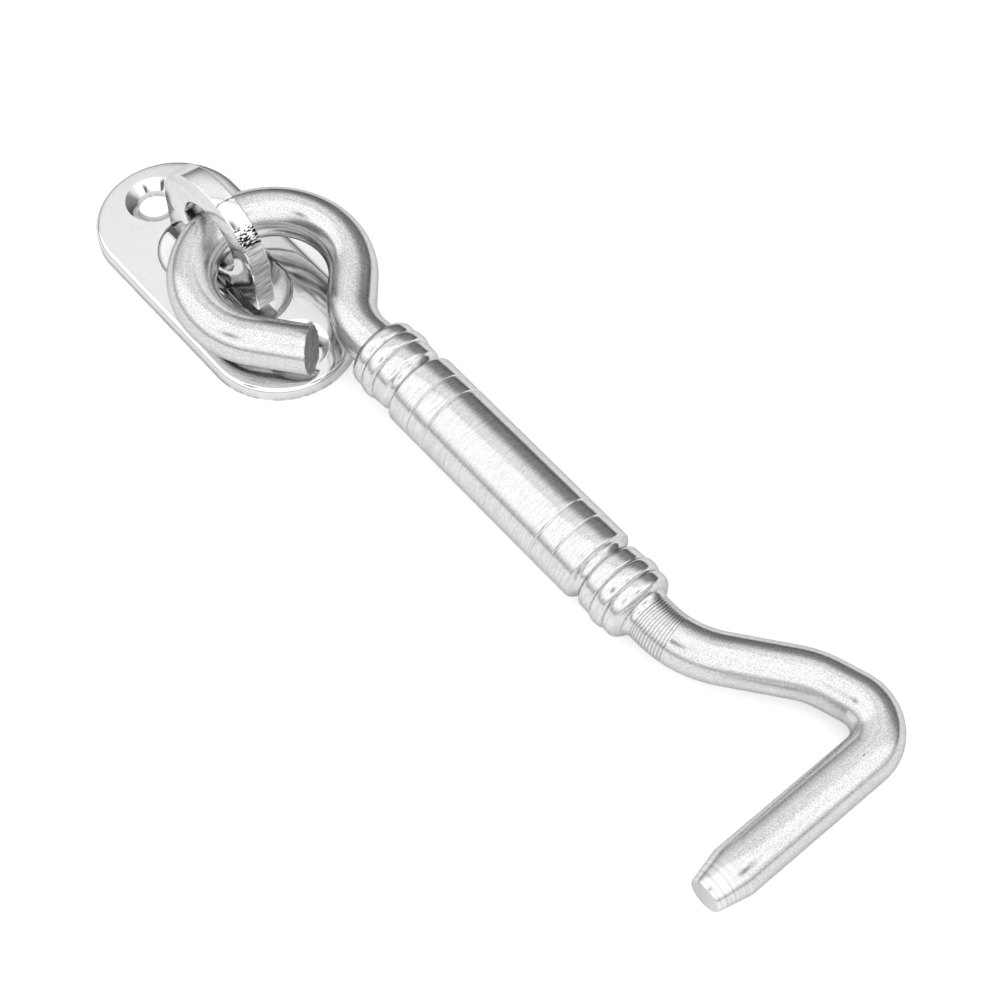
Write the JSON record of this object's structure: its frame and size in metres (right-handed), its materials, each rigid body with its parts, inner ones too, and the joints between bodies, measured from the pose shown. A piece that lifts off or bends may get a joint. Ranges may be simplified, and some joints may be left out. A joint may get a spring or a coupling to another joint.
{
  "type": "hook and eye latch",
  "caption": "Cabin hook: an oval screw-on base plate carries a swivelling eye, and a ringed hook arm with a turned grip hangs in it and swings up.",
  "frame": {"origin": "middle of the base plate's back face, the face that is screwed to a door or frame", "axes": "+X along the plate towards the hook, +Y across the plate, +Z out of the plate's back face, away from the surface it is fixed to"},
  "size_m": [0.162, 0.0415, 0.0228],
  "materials": {
    "base_plate": "mirror polished stainless steel",
    "eye": "polished stainless steel with a filed lower edge",
    "eye_washer": "plain stamped stainless steel",
    "loop_rod": "satin, fine grain",
    "grip": "bright lathe turned",
    "hook_rod": "satin, with fine turning lines at the grip"
  },
  "bodies": {
    "plate": {"base_plate": "base_plate"},
    "eye": {"eye": "eye", "eye_washer": "eye_washer"},
    "hook_arm": {"loop_rod": "loop_rod", "grip": "grip", "hook_rod": "hook_rod"}
  },
  "joints": [
    {"name": "eye_swivel", "type": "hinge", "parent": "plate", "child": "eye", "pos_m": [0, 0, 0], "axis": [0, 0, 1], "continuous": true},
    {"name": "hook_lift", "type": "hinge", "parent": "eye", "child": "hook_arm", "pos_m": [-0.002, -0.00003, 0.0102], "axis": [0.0169, -0.9999, 0], "range_deg": [0, 165]}
  ]
}
